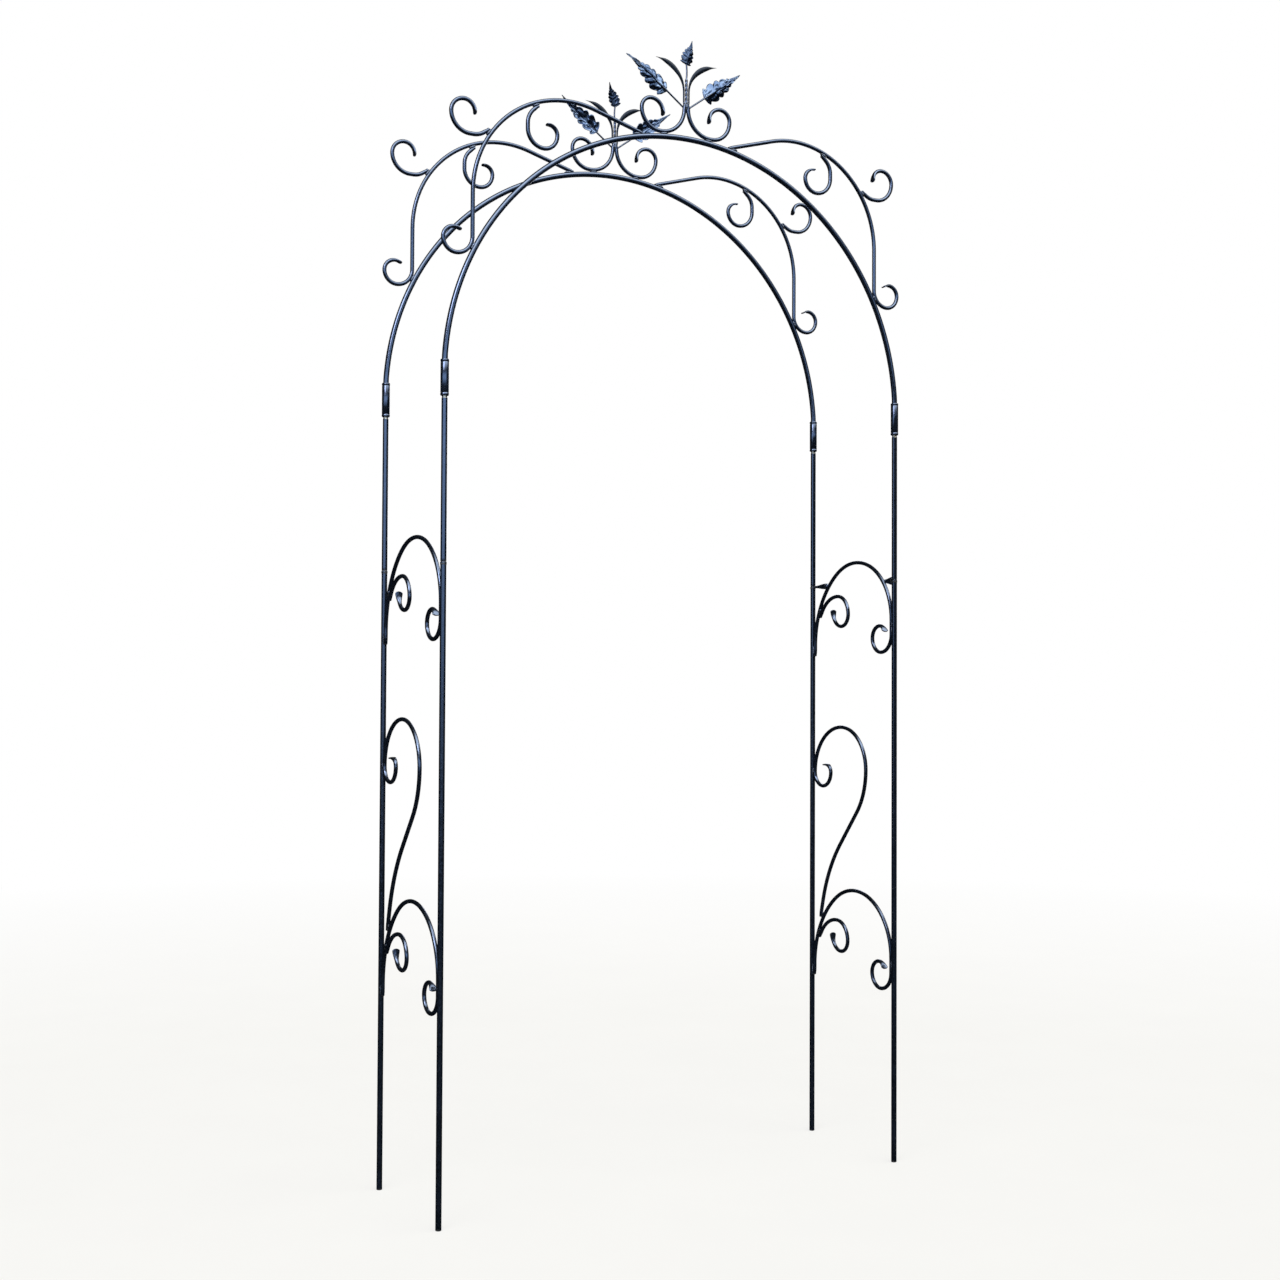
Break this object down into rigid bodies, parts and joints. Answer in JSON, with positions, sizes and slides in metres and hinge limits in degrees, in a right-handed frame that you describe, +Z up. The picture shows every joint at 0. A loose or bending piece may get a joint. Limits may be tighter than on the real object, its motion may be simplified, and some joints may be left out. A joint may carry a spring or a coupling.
{
  "type": "garden trellis arch",
  "caption": "Round-topped garden arch of coated steel tube with forged scroll ladders at its sides, branching scrolls on its bows and leaf finials on top.",
  "frame": {"origin": "on the ground, at the middle of the four feet", "axes": "+X across the walkway, to the right seen from the front arch; +Y through the walkway from the front arch to the back arch; +Z up"},
  "size_m": [1.2222, 0.374, 2.6714],
  "materials": {
    "tube_enamel": "semi-gloss black enamel",
    "scroll_enamel": "semi-gloss black enamel on forged bar",
    "leaf_enamel": "glossier blue-black enamel on pressed leaves"
  },
  "bodies": {
    "side_ladders": {"lower_leg_front_left": "tube_enamel", "lower_leg_front_right": "tube_enamel", "lower_leg_back_left": "tube_enamel", "lower_leg_back_right": "tube_enamel", "hoop_upper_left": "scroll_enamel", "hoop_upper_right": "scroll_enamel", "hoop_lower_left": "scroll_enamel", "hoop_lower_right": "scroll_enamel", "branch_curl_upper_left": "scroll_enamel", "branch_curl_upper_right": "scroll_enamel", "branch_curl_lower_left": "scroll_enamel", "branch_curl_lower_right": "scroll_enamel", "s_scroll_left": "scroll_enamel", "s_scroll_right": "scroll_enamel", "hoop_stay_front": "scroll_enamel", "hoop_stay_back": "scroll_enamel"},
    "front_left_upright": {"upper_leg_front_left": "tube_enamel", "sleeve_front_left": "tube_enamel"},
    "front_right_upright": {"upper_leg_front_right": "tube_enamel", "sleeve_front_right": "tube_enamel"},
    "front_bow": {"bow_front": "tube_enamel", "vine_front_left": "scroll_enamel", "vine_front_right": "scroll_enamel", "vine_inner_curl_front_left": "scroll_enamel", "vine_inner_curl_front_right": "scroll_enamel", "vine_outer_curl_front_left": "scroll_enamel", "vine_outer_curl_front_right": "scroll_enamel", "finial_scroll_front_left": "scroll_enamel", "finial_scroll_front_right": "scroll_enamel", "finial_blade_front_left": "leaf_enamel", "finial_blade_front_right": "leaf_enamel", "finial_leaf_front_left": "leaf_enamel", "finial_leaf_front_right": "leaf_enamel", "finial_stem_front": "scroll_enamel", "finial_bud_front": "leaf_enamel"},
    "back_left_upright": {"upper_leg_back_left": "tube_enamel", "sleeve_back_left": "tube_enamel"},
    "back_right_upright": {"upper_leg_back_right": "tube_enamel", "sleeve_back_right": "tube_enamel"},
    "back_bow": {"bow_back": "tube_enamel", "vine_back_left": "scroll_enamel", "vine_back_right": "scroll_enamel", "vine_inner_curl_back_left": "scroll_enamel", "vine_inner_curl_back_right": "scroll_enamel", "vine_outer_curl_back_left": "scroll_enamel", "vine_outer_curl_back_right": "scroll_enamel", "finial_scroll_back_left": "scroll_enamel", "finial_scroll_back_right": "scroll_enamel", "finial_blade_back_left": "leaf_enamel", "finial_blade_back_right": "leaf_enamel", "finial_leaf_back_left": "leaf_enamel", "finial_leaf_back_right": "leaf_enamel", "finial_stem_back": "scroll_enamel", "finial_bud_back": "leaf_enamel"}
  },
  "joints": [
    {"name": "front_left_upright_lift", "type": "slide", "parent": "side_ladders", "child": "front_left_upright", "axis": [0, 0, 1], "range_m": [0, 0.045]},
    {"name": "front_right_upright_lift", "type": "slide", "parent": "side_ladders", "child": "front_right_upright", "axis": [0, 0, 1], "range_m": [0, 0.045]},
    {"name": "front_bow_lift", "type": "slide", "parent": "front_left_upright", "child": "front_bow", "axis": [0, 0, 1], "range_m": [0, 0.045]},
    {"name": "back_left_upright_lift", "type": "slide", "parent": "side_ladders", "child": "back_left_upright", "axis": [0, 0, 1], "range_m": [0, 0.045]},
    {"name": "back_right_upright_lift", "type": "slide", "parent": "side_ladders", "child": "back_right_upright", "axis": [0, 0, 1], "range_m": [0, 0.045]},
    {"name": "back_bow_lift", "type": "slide", "parent": "back_left_upright", "child": "back_bow", "axis": [0, 0, 1], "range_m": [0, 0.045]}
  ],
  "couplings": [
    {"joint": "front_right_upright_lift", "follows": "front_left_upright_lift", "ratio": 1},
    {"joint": "back_right_upright_lift", "follows": "back_left_upright_lift", "ratio": 1}
  ]
}
